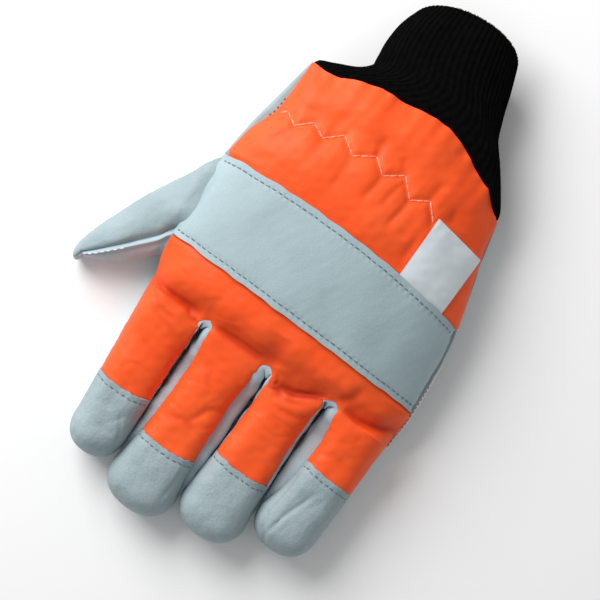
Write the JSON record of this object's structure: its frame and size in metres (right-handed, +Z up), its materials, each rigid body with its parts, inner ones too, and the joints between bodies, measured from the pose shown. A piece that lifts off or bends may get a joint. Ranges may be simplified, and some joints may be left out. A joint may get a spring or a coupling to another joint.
{
  "type": "chainsaw glove",
  "caption": "Left-hand work glove lying palm down: padded orange back with a leather knuckle strap and fingertip caps, leather palm and thumb, ribbed knit wrist",
  "frame": {"origin": "middle of the glove's footprint, on the surface that the palm lies on", "axes": "+Z up out of the back of the hand, +Y from the fingertips to the wrist, +X from the thumb to the little finger"},
  "size_m": [0.171, 0.2786, 0.0462],
  "materials": {
    "padded_fabric": "padded high-visibility woven polyester with a faint coated sheen",
    "grey_leather": "smooth pale blue-grey grain leather, soft and matte",
    "black_knit": "black ribbed knit, matte",
    "woven_label": "plain woven tag with a satin face"
  },
  "bodies": {
    "root": {"back_panel": "padded_fabric", "knuckle_strap": "grey_leather", "cap_index": "grey_leather", "cap_middle": "grey_leather", "cap_ring": "grey_leather", "cap_little": "grey_leather", "palm": "grey_leather", "fourchette_index_middle": "grey_leather", "fourchette_middle_ring": "grey_leather", "fourchette_ring_little": "grey_leather", "thumb_back": "grey_leather", "thumb_front": "grey_leather", "knit_cuff": "black_knit", "label": "woven_label"}
  },
  "joints": []
}
